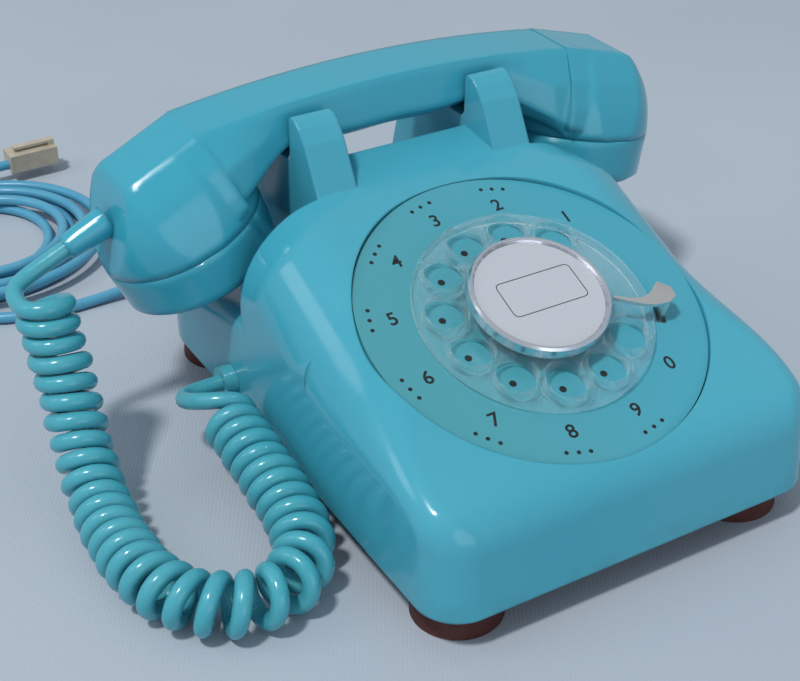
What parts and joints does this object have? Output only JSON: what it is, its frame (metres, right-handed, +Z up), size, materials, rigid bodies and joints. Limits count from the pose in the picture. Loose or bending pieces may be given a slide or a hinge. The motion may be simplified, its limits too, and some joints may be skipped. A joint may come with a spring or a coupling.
{
  "type": "rotary dial desk telephone",
  "caption": "Desk telephone with a clear finger-wheel dial on a sloping housing, a handset lying across a pronged cradle, a curly handset cord and a coiled line cord with a plug.",
  "frame": {"origin": "on the table, under the middle of the telephone's box measured without its cords", "axes": "+X to the user's right, along the handset; +Y to the rear; +Z up"},
  "size_m": [0.2817, 0.3728, 0.1132],
  "materials": {
    "housing_plastic": "moulded, glossy aqua",
    "handset_plastic": "moulded, glossy aqua",
    "ring_plastic": "moulded, satin aqua green",
    "clear_plastic": "clear, polished",
    "card_white": "matt white card",
    "bright_metal": "bright plated",
    "steel": "plain zinc-coated steel",
    "brass": "turned brass",
    "foot_rubber": "dark brown rubber",
    "curly_cord": "soft glossy cord jacket, teal",
    "line_cord": "soft cord jacket, sky blue",
    "plug_beige": "moulded beige",
    "dark_plastic": "black moulding",
    "capsule_metal": "pressed can",
    "network_case": "grey can",
    "coil_wrap": "varnished tape over windings"
  },
  "bodies": {
    "base": {"housing": "housing_plastic", "base_plate": "steel", "base_feet": "foot_rubber", "housing_screws": "steel", "dial_number_ring": "ring_plastic", "finger_stop": "bright_metal", "dial_frame": "steel", "dial_back_plate": "steel", "dial_pillars": "brass", "return_spring_barrel": "steel", "governor_cup": "brass", "dial_contact_springs": "brass", "dial_bracket": "steel", "line_switch_frame": "steel", "line_switch_contacts": "brass", "gong_front": "brass", "gong_rear": "brass", "gong_posts": "steel", "gong_screws": "steel", "ringer_frame": "steel", "ringer_coil": "coil_wrap", "network_block": "network_case", "network_terminals": "brass", "handset_cord_grommet": "curly_cord", "line_cord_grommet": "line_cord", "handset_cord": "curly_cord", "line_cord_coil": "line_cord", "line_cord": "line_cord", "line_plug": "plug_beige"},
    "dial": {"finger_wheel": "clear_plastic", "card_ring": "bright_metal", "number_card": "card_white", "card_cover": "clear_plastic", "dial_shaft": "steel", "main_gear": "brass"},
    "governor": {"pulse_pinion": "brass", "pulse_shaft": "steel", "pulse_cam": "dark_plastic", "governor_weights": "brass"},
    "handset": {"handset_handle": "handset_plastic", "receiver_cap": "handset_plastic", "receiver_capsule": "capsule_metal", "transmitter_cap": "handset_plastic", "transmitter_capsule": "capsule_metal", "transmitter_cup": "dark_plastic", "handset_cord_bushing": "handset_plastic"},
    "plunger_left": {"plunger_left": "clear_plastic"},
    "plunger_right": {"plunger_right": "clear_plastic"},
    "hook_lever": {"hook_lever": "steel"},
    "clapper": {"clapper": "brass"},
    "volume_wheel": {"volume_wheel": "dark_plastic"}
  },
  "joints": [
    {"name": "dial_spin", "type": "hinge", "parent": "base", "child": "dial", "pos_m": [-0.00475, -0.0426, 0.0648], "axis": [0, -0.3689, 0.9295], "range_deg": [-325, 0], "stiffness_Nm_per_rad": 0.02},
    {"name": "governor_spin", "type": "hinge", "parent": "base", "child": "governor", "pos_m": [0.01625, -0.0426, 0.0648], "axis": [0, -0.3689, 0.9295], "range_deg": [0, 1950]},
    {"name": "handset_lift", "type": "slide", "parent": "base", "child": "handset", "axis": [0, 0, 1], "range_m": [0, 0.12]},
    {"name": "plunger_left_slide", "type": "slide", "parent": "base", "child": "plunger_left", "axis": [0, 0, 1], "range_m": [0, 0.006]},
    {"name": "plunger_right_slide", "type": "slide", "parent": "base", "child": "plunger_right", "axis": [0, 0, 1], "range_m": [0, 0.006]},
    {"name": "hook_lever_turn", "type": "hinge", "parent": "base", "child": "hook_lever", "pos_m": [-0.00475, 0.08, 0.046], "axis": [-1, 0, 0], "range_deg": [0, 12.5]},
    {"name": "clapper_swing", "type": "hinge", "parent": "base", "child": "clapper", "pos_m": [0.02125, 0.046, 0.022], "axis": [0, 0, 1], "range_deg": [-2.3, 2.3]},
    {"name": "volume_turn", "type": "hinge", "parent": "base", "child": "volume_wheel", "pos_m": [0.04225, -0.008, 0.01], "axis": [0, 0, 1], "range_deg": [-60, 60]}
  ],
  "couplings": [
    {"joint": "governor_spin", "follows": "dial_spin", "ratio": -6},
    {"joint": "plunger_left_slide", "follows": "handset_lift", "ratio": 0.05},
    {"joint": "plunger_right_slide", "follows": "handset_lift", "ratio": 0.05},
    {"joint": "hook_lever_turn", "follows": "handset_lift", "rad_per_m": 1.818}
  ]
}
